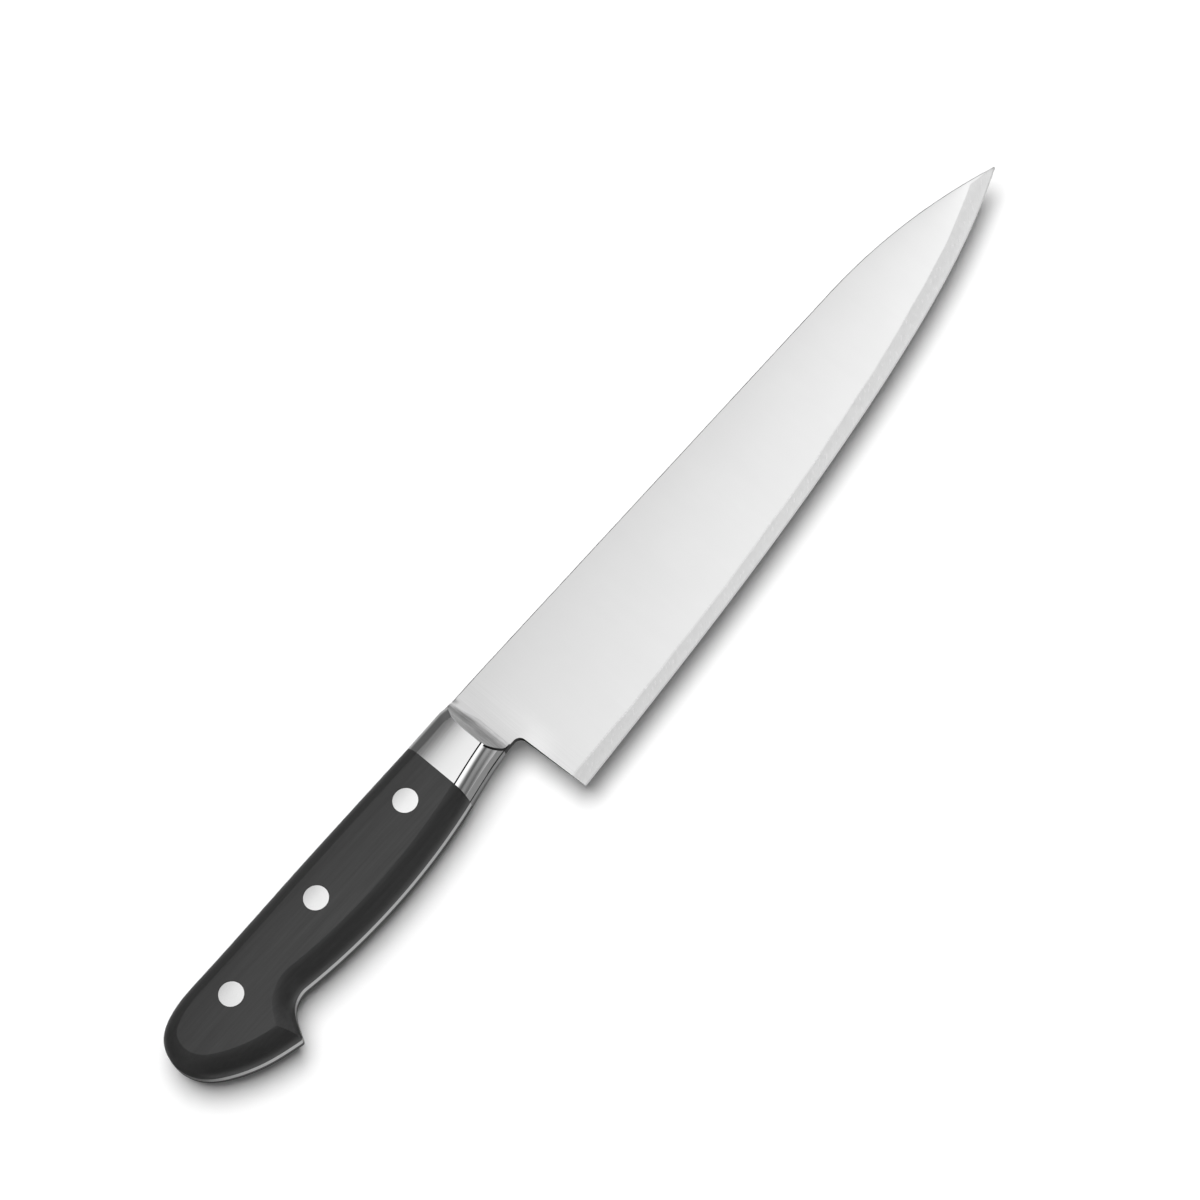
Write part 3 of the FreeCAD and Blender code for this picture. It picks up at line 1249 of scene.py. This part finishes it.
@dataclass(frozen=True)
class Scale:
    """Handle scale with a rounded outer rim, mitred at the beak, and a stepped hole for each rivet."""

    # The scale is built this far past the seam and cut off there.
    past_seam: float = 4.0
    # Room round a rivet, and the width and depth of the hole's broken edge.
    gap: float = 0.04
    broken: Point = (0.04, 0.05)
    hole_steps: int = 72
    # The cheek is cut into strips, so that its crown shades smoothly.
    strips_from: float = 13.0
    strips_to: float = 42.0
    strip: float = 1.5
    # Distances between neighbours along the back and near the seam, and the flat inside the rounding.
    back_step: float = 0.9
    seam_step: float = 1.0
    shelf: float = 0.25
    # Points up to this far from the beak may meet at the mitre, and those this near it always do.
    mitre_reach: float = 9.0
    mitre_near: float = 0.9

    def build(
        self, limits: Limits, section: Section, rivets: Iterable[Rivet], side: Side, dressed: Dressed
    ) -> bpy.types.Object:
        """Builds one scale.

        Args:
            limits: outline of the knife.
            section: rounding of the handle.
            rivets: rivets that pass through it.
            side: side of the knife.
            dressed: name, place and materials.

        Returns:
            The piece.
        """
        outline = limits.outline
        end_x = outline.seam_x + self.past_seam
        ahead = outline.spine_rear[outline.spine_rear[:, 0] <= end_x]
        below = outline.underside[outline.underside[:, 0] <= end_x]
        chain = np.concatenate([
            spaced(ahead, self.seam_step)[::-1], spaced(outline.back, self.back_step)[::-1][1:],
            outline.handle_end()[1:], spaced(below, self.seam_step)[1:],
        ])
        tangents = np.gradient(chain, axis=0)
        tangents /= np.linalg.norm(tangents, axis=1)[:, None]
        inward = np.stack([-tangents[:, 1], tangents[:, 0]], axis=1)
        inward[0], inward[-1] = (0.0, -1.0), (0.0, 1.0)
        corner = outline.beak_corner()
        beak = np.array(outline.beak)
        first, last = (corner[0] - beak), (corner[-1] - beak)
        half_angle = math.acos(float(first @ last) / (np.linalg.norm(first) * np.linalg.norm(last))) / 2
        ridge = first / np.linalg.norm(first) + last / np.linalg.norm(last)
        ridge /= np.linalg.norm(ridge)
        across = np.array([-ridge[1], ridge[0]])
        sides = (chain - beak) @ across
        near = np.linalg.norm(chain - beak, axis=1) < self.mitre_reach
        rings = section.levels()
        rings.append((section.across + self.shelf, section.cheek))

        def on_wall(column: int, row: int) -> Place:
            """Grid point of the rim, with the points that have met at the mitre held on its line.

            Args:
                column: number of the point round the outline.
                row: number of the ring, from the tang up.

            Returns:
                The point.
            """
            index = column % len(chain)
            inset, z = rings[row]
            place = chain[index] + inward[index] * inset
            if near[index]:
                now = float((place - beak) @ across)
                rounded = abs(sides[index]) < self.mitre_near and inset >= outline.beak_radius
                if now * sides[index] <= 0 or rounded:
                    place = beak + ridge * inset / math.sin(half_angle)
            if index in (0, len(chain) - 1):
                place[0] = end_x
            return float(place[0]), float(place[1]), z

        mesh = bmesh.new()
        sheet(mesh, len(chain) + 1, len(rings), on_wall)
        for rivet in rivets:
            self._pocket(mesh, rivet, section)
        bmesh.ops.remove_doubles(mesh, verts=mesh.verts, dist=SAME)
        close_flat(mesh, 2, section.cheek)
        close_flat(mesh, 2, section.tang_half)
        everything = mesh.verts[:] + mesh.edges[:] + mesh.faces[:]
        bmesh.ops.bisect_plane(
            mesh, geom=everything, dist=ON_CUT, plane_co=(outline.seam_x, 0.0, 0.0),
            plane_no=(1.0, 0.0, 0.0), clear_outer=True,
        )
        close_flat(mesh, 0, outline.seam_x)
        for y in np.arange(self.strips_from, self.strips_to, self.strip):
            everything = mesh.verts[:] + mesh.edges[:] + mesh.faces[:]
            bmesh.ops.bisect_plane(
                mesh, geom=everything, dist=ON_CUT, plane_co=(0.0, float(y), 0.0),
                plane_no=(0.0, 1.0, 0.0),
            )
        section.crown(mesh)
        return dressed.make(mesh, side)

    def _pocket(self, mesh: bmesh.types.BMesh, rivet: Rivet, section: Section) -> None:
        """Adds the wall of a stepped rivet hole.

        Args:
            mesh: mesh of the scale.
            rivet: rivet that sits in it.
            section: rounding of the handle.
        """
        head, barrel = rivet.head_radius + self.gap, rivet.barrel_radius + self.gap
        under = section.cheek - rivet.head_depth
        wide, deep = self.broken
        steps = [
            (head + wide, section.cheek), (head, section.cheek - deep), (head, under), (barrel, under),
            (barrel, section.tang_half),
        ]

        def on_pocket(column: int, row: int) -> Place:
            """Grid point of the hole's wall.

            Args:
                column: number of the point round the hole.
                row: number of the step, from the cheek down.

            Returns:
                The point.
            """
            angle = math.tau * (column % self.hole_steps) / self.hole_steps
            radius, z = steps[row]
            return rivet.centre[0] + radius * math.cos(angle), rivet.centre[1] + radius * math.sin(angle), z

        sheet(mesh, self.hole_steps + 1, len(steps), on_pocket)


class BolsterFinish(IntEnum):
    """Regions of a bolster half, in the order of their materials."""

    CHEEK = 0
    UNDERSIDE = 1
    RAMP = 2
    # Thin dark lines: painted shade in the crease under the roll and along the ramp's foot, and the dark
    # joint along the tang.
    LINE = 3


@dataclass(frozen=True)
class Bolster:
    """Half bolster: polished cheek, brushed underside and a matte hollow ramp to the blade."""

    # Underside: inset of the small step at the cheek, inset and height of the roll below it, inset
    # and height of the flat band, and by how much all insets are drawn out.
    step_inset: float = 4.42
    roll_inset: float = 4.12
    roll_z: float = 8.12
    roll_power: float = 2.8
    band_inset: float = 0.75
    band_z: float = 5.2
    band_z_front: float = 4.0
    under_gain: float = 1.03
    # The front leans forward from one height up, and draws in from another.
    lean: float = 1.6
    lean_y: float = 32.0
    lean_past: float = 2.0
    lean_power: float = 1.5
    squeeze: float = 0.45
    squeeze_y: float = 34.0
    # The back's nose is drawn in from this share of the way to the ramp, fully from this height up.
    nose_in: float = 0.55
    nose_share: float = 0.8
    nose_z: float = 4.0
    # Numbers of points, the narrow last step across, and the rows close to the roll and the foot.
    columns: int = 26
    across: int = 22
    last_step: float = 0.014
    roll_steps: tuple[float, ...] = (0.28, 0.16, 0.08, 0.03, 0.01, 0.0)
    foot_steps: tuple[float, ...] = (0.01, 0.04, 0.1, 0.18, 0.4, 0.6)
    # Profile of the ramp from the cheek to the blade, and its directions at both ends.
    ramp: tuple[Point, ...] = (
        (-11.0, 8.5), (-10.0, 7.1), (-9.0, 5.2), (-8.0, 3.4), (-7.2, 2.1), (-6.6, 1.5), (-5.9, 1.2),
        (-5.0, 1.11),
    )
    ramp_top: Point = (1.0, -1.0)
    ramp_foot: Point = (1.0, -0.02)
    # How faces are told apart: how far from the front the ramp's may lie, the height of the painted
    # shade line along its foot, how close below the roll's top the painted shade line in the crease
    # begins, the height of the dark joint along the tang, where the band's crease meets the ramp and how
    # close to it the band ends, the height halfway up, and the parts of a normal that look ahead, down
    # and straight down.
    ramp_near: float = 0.35
    line: float = 0.3
    line_near: float = 0.02
    joint_z: float = 1.7
    crease_end: float = -8.0
    crease_near: float = 0.05
    halfway_y: float = 30.0
    ahead: float = 0.02
    down: float = -0.3
    straight_down: float = -0.8

    @property
    def spread(self) -> np.ndarray:
        """Shares of the way across at which the skin has its points, with a narrow last step."""
        return np.append(np.linspace(0.0, 1.0 - self.last_step, self.across), 1.0)

    @cached_property
    def _curve(self) -> np.ndarray:
        """Profile of the ramp, sampled from its foot up."""
        return through(self.ramp, self.ramp_top, self.ramp_foot)[::-1]

    def heights(self, section: Section) -> list[float]:
        """Heights of the rows.

        Args:
            section: rounding of the handle.

        Returns:
            The heights, from the tang to the cheek.
        """
        roll = [self.roll_z - down for down in self.roll_steps]
        rings = [z for _, z in section.levels() if z < min(roll)]
        foot = [section.tang_half + up for up in self.foot_steps]
        step = np.linspace(self.roll_z, section.cheek, 4)[1:]
        return sorted({*rings, *roll, *foot, self.band_z, *step})

    def crease_z(self, share: float) -> float:
        """Height of the underside band's upper crease at a share of the way to the ramp."""
        return self.band_z + (self.band_z_front - self.band_z) * share

    def under_point(self, z: float, share: float, section: Section) -> Point:
        """Place of a row of the underside's profile: a flat band, a roll and a small step.

        Args:
            z: the row's height on the back of the bolster.
            share: share of the way from the seam to the ramp.
            section: rounding of the handle.

        Returns:
            Distance in from the underside, and height.
        """
        crease = self.crease_z(share)
        if z <= self.band_z:
            up = (z - section.tang_half) / (self.band_z - section.tang_half)
            return self.band_inset * up, section.tang_half + up * (crease - section.tang_half)
        if z >= self.roll_z:
            up = (z - self.roll_z) / (section.cheek - self.roll_z)
            return self.roll_inset + (self.step_inset - self.roll_inset) * up, z
        down = (self.roll_z - z) / (self.roll_z - self.band_z)
        inset = self.roll_inset - (self.roll_inset - self.band_inset) * down ** (1 / self.roll_power)
        return inset, self.roll_z - down * (self.roll_z - crease)

    def front(self, y: float, z: float, limits: Limits) -> float:
        """Front end of the bolster, which leans forward and gets shorter towards the spine.

        Args:
            y: height above the heel corner.
            z: distance from the middle plane.
            limits: outline of the knife.

        Returns:
            Its place along the knife.
        """
        x = float(np.interp(z, self._curve[:, 1], self._curve[:, 0]))
        top = limits.top(x)
        shorter = 1 - self.squeeze * blend(y, self.squeeze_y, top)
        x = self.ramp[0][0] + (x - self.ramp[0][0]) * shorter
        return x + self.lean * blend(y, self.lean_y, top + self.lean_past) ** self.lean_power

    def build(self, limits: Limits, section: Section, side: Side, dressed: Dressed) -> bpy.types.Object:
        """Builds one bolster half.

        Args:
            limits: outline of the knife.
            section: rounding of the handle.
            side: side of the knife.
            dressed: name, place and materials.

        Returns:
            The piece.
        """
        heights = self.heights(section)
        seam = limits.outline.seam_x

        def border(share: float) -> list[Place]:
            """Closed ring round the bolster.

            Args:
                share: share of the way from the seam to the ramp.

            Returns:
                The points: up the back, across the cheek, down the underside and across the tang.
            """
            ring = []
            for z in heights:
                nose = blend(share, self.nose_share, 1.0) * blend(z, section.tang_half, self.nose_z)
                inset = section.inset_at(z) + self.nose_in * nose
                ring.append(self._at(share, z, lambda x: limits.top(x) - inset, limits, seam))
            lower = []
            for level in heights:
                inset, z = self.under_point(level, share, section)
                inset *= self.under_gain
                lower.append(self._at(share, z, lambda x: limits.under(x) + inset, limits, seam))
            top, low = ring[-1], lower[-1]
            for part in self.spread[1:-1]:
                y = top[1] + (low[1] - top[1]) * part
                ring.append(self._at(share, section.cheek, lambda x: y, limits, seam))
            ring += lower[::-1]
            for part in self.spread[-2:0:-1]:
                y = ring[0][1] + (lower[0][1] - ring[0][1]) * part
                ring.append(self._at(share, section.tang_half, lambda x: y, limits, seam))
            return ring

        rings = [border(share) for share in np.linspace(0, 1, self.columns)]
        last = rings[-1]
        count = len(last)

        def on_body(column: int, row: int) -> Place:
            """Grid point of the skin between the seam and the ramp."""
            return rings[row][column % count]

        levels = len(heights)
        upper = last[:levels]
        lower = last[levels + self.across - 1 : 2 * levels + self.across - 1][::-1]

        def on_ramp(column: int, row: int) -> Place:
            """Grid point of the ramp.

            Args:
                column: number of the point across, from the back.
                row: number of the row, from the tang up.

            Returns:
                The point.
            """
            if column in (0, self.across):
                return lower[row] if column else upper[row]
            _, y, z = (a + (b - a) * self.spread[column] for a, b in zip(upper[row], lower[row]))
            return self._at(1.0, z, lambda x: y, limits, seam)

        mesh = bmesh.new()
        sheet(mesh, count + 1, len(rings), on_body)
        sheet(mesh, self.across + 1, levels, on_ramp)
        bmesh.ops.remove_doubles(mesh, verts=mesh.verts, dist=SAME)
        close_flat(mesh, 0, seam)

        def finish_of(face: bmesh.types.BMFace) -> BolsterFinish:
            """Finish of a face, from where it lies and which way it looks.

            Args:
                face: the face.

            Returns:
                The finish.
            """
            centre = face.calc_center_median()
            z = abs(centre.z)
            from_front = abs(centre.x - self.front(centre.y, z, limits))
            if face.normal.x > self.ahead and from_front < self.ramp_near:
                foot = float(np.interp(z, [p[2] for p in lower], [p[1] for p in lower]))
                # A thin strip along the ramp's foot gets painted shade.
                return BolsterFinish.LINE if centre.y < foot + self.line else BolsterFinish.RAMP
            below = centre.y < self.halfway_y and face.normal.y < self.down
            # The crease under the roll gets painted shade, and the foot along the tang the dark joint.
            if below and (z > self.roll_z - self.line_near or z < self.joint_z):
                return BolsterFinish.LINE
            crease = self.crease_z(min(1.0, (centre.x - seam) / (self.crease_end - seam)))
            if face.normal.y < self.straight_down and z < crease - self.crease_near:
                return BolsterFinish.UNDERSIDE
            return BolsterFinish.CHEEK

        section.crown(mesh)
        return dressed.make(mesh, side, finish_of)

    def _at(
        self, share: float, z: float, height: Callable[[float], float], limits: Limits, seam: float
    ) -> Place:
        """Point of a row of the bolster's skin, found in three steps, as the front leans with height.

        Args:
            share: share of the way from the seam to the ramp.
            z: the row's height.
            height: gives the row's place between underside and spine at any place along the knife.
            limits: outline of the knife.
            seam: where the bolster meets the scale.

        Returns:
            The point.
        """
        x = seam + share * (self.ramp[0][0] - seam)
        for _ in range(3):
            x = seam + share * (self.front(height(x), z, limits) - seam)
        return x, height(x), z


# ---- studio ----------------------------------------------------------------------------------


@dataclass(frozen=True)
class Overhead:
    """Very wide, distant soft light above the knife, given by the direction that it shines from."""

    name: str
    towards: Place
    spread: float
    strength: float
    distance: float = 2.0

    def build(self) -> None:
        """Hangs the light. It lights the scene without showing in the steel."""
        light = bpy.data.lights.new(self.name, "SUN")
        light.angle = math.radians(self.spread)
        light.energy = self.strength
        lamp = bpy.data.objects.new(self.name, light)
        lamp.rotation_mode = "QUATERNION"
        lamp.rotation_quaternion = Vector(self.towards).to_track_quat("Z", "Y")
        lamp.location = Vector(self.towards).normalized() * self.distance
        lamp.visible_glossy = False
        bpy.context.scene.collection.objects.link(lamp)


@dataclass(frozen=True)
class Studio:
    """White floor and backdrop, the room that the steel mirrors, the overhead lights and the camera."""

    floor_colour: str = "f2f2f2"
    floor_size: float = 16.0
    floor_below: float = 0.1 * MM
    # Patches of the board's faint mottle in a metre, and how high they stand.
    floor_patches: float = 900.0
    floor_grain: float = 0.02 * MM
    backdrop_radius: float = 7.5
    backdrop_level: float = 0.97
    # Brightness of the room against the parts of a direction across and along the knife: a white
    # ceiling between dim side walls, and a paler wall at the tip's end.
    room: tuple[Point, ...] = (
        (-1.0, 0.50), (-0.94, 0.40), (-0.84, 0.12), (-0.75, 0.13), (-0.48, 0.32), (-0.2, 0.95), (0.05, 1.3),
        (0.22, 1.45), (0.30, 1.4), (0.38, 0.98), (0.49, 0.22), (0.62, 0.13), (1.0, 0.14),
    )
    ends: tuple[Point, ...] = (
        (-0.4, 0.2), (0.0, 0.6), (0.13, 1.03), (0.26, 1.19), (0.42, 1.13), (0.75, 0.6),
    )
    # The same for the table below, which lies in the knife's own shadow close under it.
    table: tuple[Point, ...] = (
        (-1.0, 0.75), (-0.34, 0.75), (-0.16, 0.10), (0.40, 0.10), (0.60, 0.50), (1.0, 0.50),
    )
    # Heights of a direction between which the room gives way to the table.
    table_rim: Point = (-0.35, -0.62)
    # Camera: focal length and sensor in millimetres, what it sees near and far, its place, and the
    # directions behind and above it.
    lens: float = 180.0
    sensor: float = 36.0
    clip: Point = (0.05, 20.0)
    camera_place: Place = (-0.293411, -0.547333, 1.518147)
    camera_back: Place = (-0.18124522, -0.34110141, 0.9223882)
    camera_up: Place = (0.72344798, 0.58908659, 0.36)
    overheads: tuple[Overhead, ...] = (
        Overhead("key_light", (0.14, 0.17, 1.0), 54.0, 3.2),
        Overhead("fill_light", (0.0, 0.0, 1.0), 150.0, 0.75),
    )

    def build(self) -> None:
        """Builds everything that isn't part of the knife."""
        self._floor()
        self._backdrop()
        self._sky()
        for overhead in self.overheads:
            overhead.build()
        self._camera()

    def _floor(self) -> None:
        """Lays the floor just under the knife."""
        mesh = bmesh.new()
        bmesh.ops.create_grid(mesh, x_segments=4, y_segments=4, size=self.floor_size / 2)
        data = bpy.data.meshes.new("floor")
        mesh.to_mesh(data)
        mesh.free()
        data.transform(Matrix.Translation((0.0, 0.0, -self.floor_below)))
        material, tree = blank("matt_white_board")
        place = add_node(tree, "ShaderNodeTexCoord").outputs["Object"]
        mottle = add_node(
            tree, "ShaderNodeTexNoise", None, Vector=place, Scale=self.floor_patches, Detail=2.0,
        )
        bump = add_node(
            tree, "ShaderNodeBump", None, Height=mottle.outputs["Fac"], Strength=0.1,
            Distance=self.floor_grain,
        )
        shader = add_node(
            tree, "ShaderNodeBsdfPrincipled", None, Base_Color=linear(self.floor_colour), Roughness=0.9,
            Normal=bump.outputs[0],
        )
        add_node(tree, "ShaderNodeOutputMaterial", None, Surface=shader.outputs[0])
        data.materials.append(material)
        floor = bpy.data.objects.new("floor", data)
        floor.visible_glossy = False
        bpy.context.scene.collection.objects.link(floor)

    def _backdrop(self) -> None:
        """Puts a pale dome round the scene that only the camera sees."""
        mesh = bmesh.new()
        bmesh.ops.create_uvsphere(mesh, u_segments=48, v_segments=24, radius=self.backdrop_radius)
        data = bpy.data.meshes.new("backdrop")
        mesh.to_mesh(data)
        mesh.free()
        material, tree = blank("pale_backdrop_paper")
        glow = add_node(tree, "ShaderNodeEmission", None, Color=(self.backdrop_level,) * 3 + (1.0,))
        add_node(tree, "ShaderNodeOutputMaterial", None, Surface=glow.outputs[0])
        data.materials.append(material)
        dome = bpy.data.objects.new("backdrop", data)
        dome.visible_glossy = dome.visible_diffuse = dome.visible_shadow = False
        dome.visible_transmission = False
        bpy.context.scene.collection.objects.link(dome)

    def _sky(self) -> None:
        """Paints the room: a white ceiling that falls off to dim side walls, over a table."""
        world = bpy.data.worlds.new("studio_room")
        world.use_nodes = True
        tree = world.node_tree
        tree.nodes.clear()
        aim = add_node(tree, "ShaderNodeTexCoord").outputs["Generated"]
        split = add_node(tree, "ShaderNodeSeparateXYZ", None, Vector=aim)
        walls = add_node(
            tree, "ShaderNodeMath", {"operation": "MULTIPLY"},
            i0=self._graded(tree, split.outputs["Y"], self.room),
            i1=self._graded(tree, split.outputs["X"], self.ends),
        )
        down = add_node(
            tree, "ShaderNodeMapRange", {"interpolation_type": "SMOOTHSTEP"}, Value=split.outputs["Z"],
            From_Min=self.table_rim[0], From_Max=self.table_rim[1],
        )
        level = add_node(tree, "ShaderNodeMix", {"data_type": "FLOAT"}, Factor=down.outputs[0])
        tree.links.new(walls.outputs[0], level.inputs[2])
        tree.links.new(self._graded(tree, split.outputs["Y"], self.table), level.inputs[3])
        glow = add_node(tree, "ShaderNodeBackground", None, Color=level.outputs[0], Strength=1.0)
        add_node(tree, "ShaderNodeOutputWorld", None, Surface=glow.outputs[0])
        bpy.context.scene.world = world
        world.cycles_visibility.diffuse = False

    def _graded(
        self, tree: bpy.types.NodeTree, part: bpy.types.NodeSocket, stops: Sequence[Point]
    ) -> bpy.types.NodeSocket:
        """Brightness that follows one part of a direction through a few stops.

        Args:
            tree: node tree of the room.
            part: the part of the direction, from -1 to 1.
            stops: its values and the brightness at each.

        Returns:
            The brightness.
        """
        share = add_node(tree, "ShaderNodeMath", {"operation": "MULTIPLY_ADD"}, i0=part, i1=0.5, i2=0.5)
        ramp = add_node(tree, "ShaderNodeValToRGB", None, Fac=share.outputs[0])
        for _ in stops[2:]:
            ramp.color_ramp.elements.new(0.5)
        for stop, (place, level) in zip(ramp.color_ramp.elements, stops):
            stop.position = (place + 1) / 2
            stop.color = (level, level, level, 1.0)
        return ramp.outputs[0]

    def _camera(self) -> None:
        """Sets up the camera."""
        back, up = Vector(self.camera_back).normalized(), Vector(self.camera_up).normalized()
        right = up.cross(back)
        data = bpy.data.cameras.new("camera")
        data.lens, data.sensor_width = self.lens, self.sensor
        data.clip_start, data.clip_end = self.clip
        camera = bpy.data.objects.new("camera", data)
        camera.rotation_mode = "QUATERNION"
        camera.rotation_quaternion = Matrix((right, up, back)).transposed().to_quaternion()
        camera.location = self.camera_place
        bpy.context.scene.collection.objects.link(camera)
        bpy.context.scene.camera = camera
        bpy.context.scene.view_settings.view_transform = "Standard"


# ---- the knife -------------------------------------------------------------------------------


def main() -> None:
    """Builds the knife piece by piece, then the studio."""
    logging.basicConfig(level=logging.INFO, format="%(message)s")
    outline, section = Outline(), Section()
    limits = Limits(outline)
    datum = Datum.found(outline, section.tang_half)

    steels = {finish: finish.material() for finish in STEELS}
    wood = LAMINATE.material()

    blade_looks = [steels[finish] for finish in BLADE_FINISHES]
    bolster_looks = [steels[finish] for finish in BOLSTER_FINISHES]
    Blade().build(
        limits, [rivet.centre for rivet in RIVETS],
        Dressed("blade_and_tang", "blade", "blade_steel", blade_looks, datum, crease=12.0),
    )
    for side in Side:
        word = side.word
        Bolster().build(
            limits, section, side,
            Dressed(
                word + "_bolster_half", word + "_bolster", "bolster_steel", bolster_looks, datum,
                crease=14.0,
            ),
        )
        Scale().build(
            limits, section, RIVETS, side,
            Dressed(word + "_scale_slab", word + "_scale", "scale", [wood], datum, crease=11.0),
        )
    for rivet in RIVETS:
        socket = rivet.name + "_rivet_socket"
        post = rivet.name + "_rivet_post"
        rivet.build_socket(section, Dressed(socket + "_body", socket, "rivet", [steels[BUFFED]], datum))
        rivet.build_post(section, Dressed(post + "_body", post, "rivet", [steels[BUFFED]], datum))

    Studio().build()


if __name__ == "__main__":
    main()
